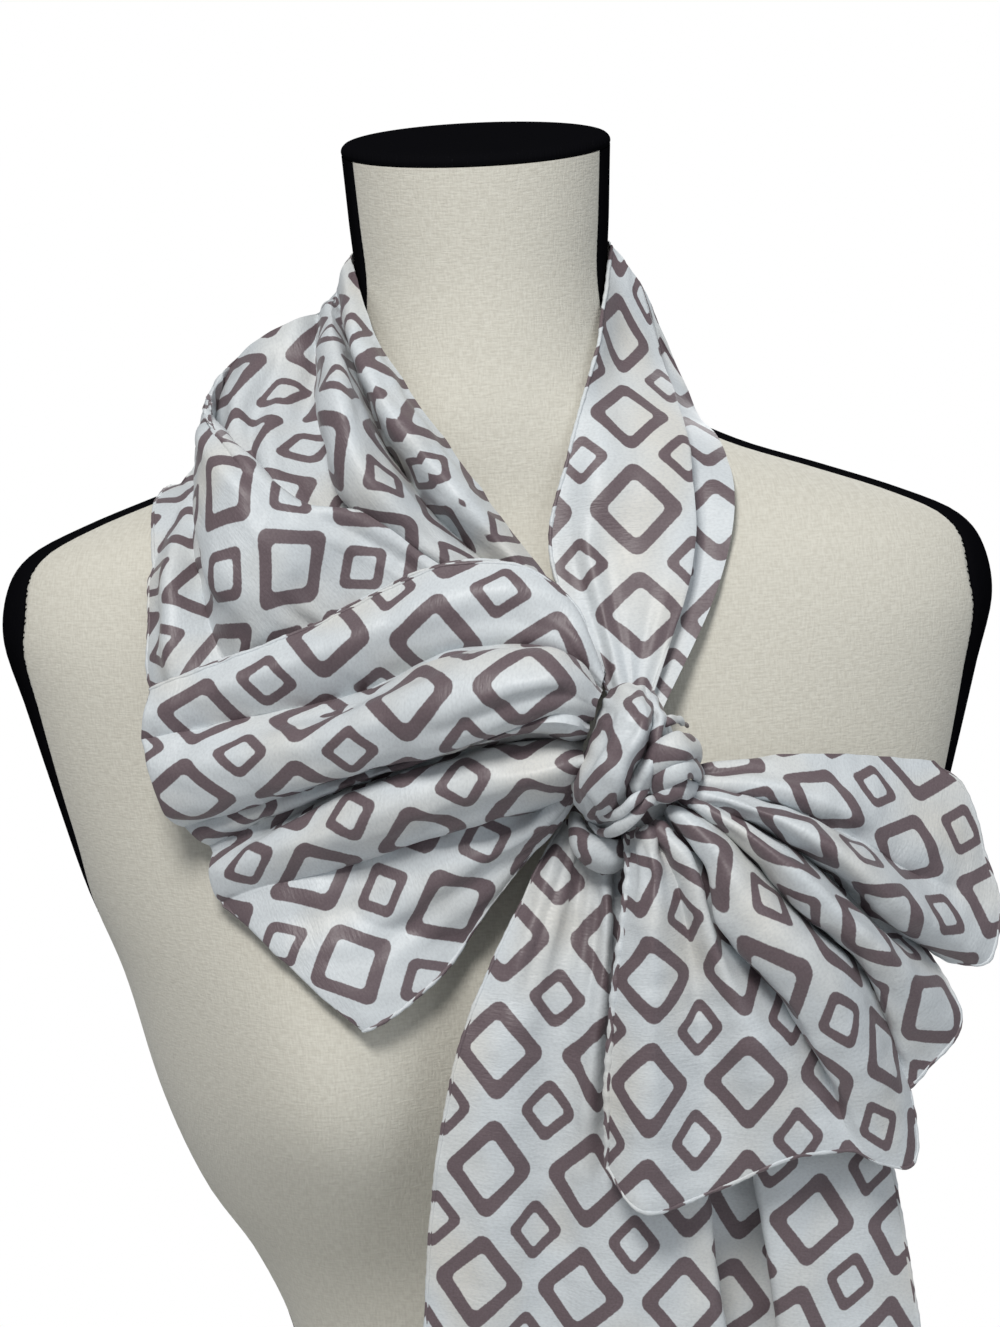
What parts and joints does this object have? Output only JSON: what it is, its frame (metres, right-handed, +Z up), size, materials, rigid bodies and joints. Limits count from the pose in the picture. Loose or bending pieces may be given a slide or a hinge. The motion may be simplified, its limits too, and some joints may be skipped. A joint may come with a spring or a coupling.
{
  "type": "oblong scarf on a dress form",
  "caption": "Long satin scarf worn round the neck of a smooth limbless dress form and tied at the chest in a lopsided bow, its short end fanned out and its long end hanging.",
  "frame": {"origin": "centre of the dress form's flat base", "axes": "+Z up the form towards its neck, -Y towards the wearer's front, +X towards the wearer's left"},
  "size_m": [0.3824, 0.2697, 0.7594],
  "materials": {
    "satin": "thin crepe satin with a soft sheen, printed with hollow rounded squares",
    "linen": "plain weave, matte",
    "jersey": "black stretch knit, matte"
  },
  "bodies": {
    "root": {"form_front": "linen", "form_back": "linen", "form_gusset": "jersey", "neck_cap": "jersey", "shoulder_drape": "satin", "nape_stretch": "satin", "flat_band": "satin", "bow_loop": "satin", "fan_end": "satin", "long_end": "satin", "knot_core": "satin", "knot_wrap": "satin", "knot_roll_upper": "satin", "knot_roll_lower": "satin", "knot_tuck": "satin"}
  },
  "joints": []
}
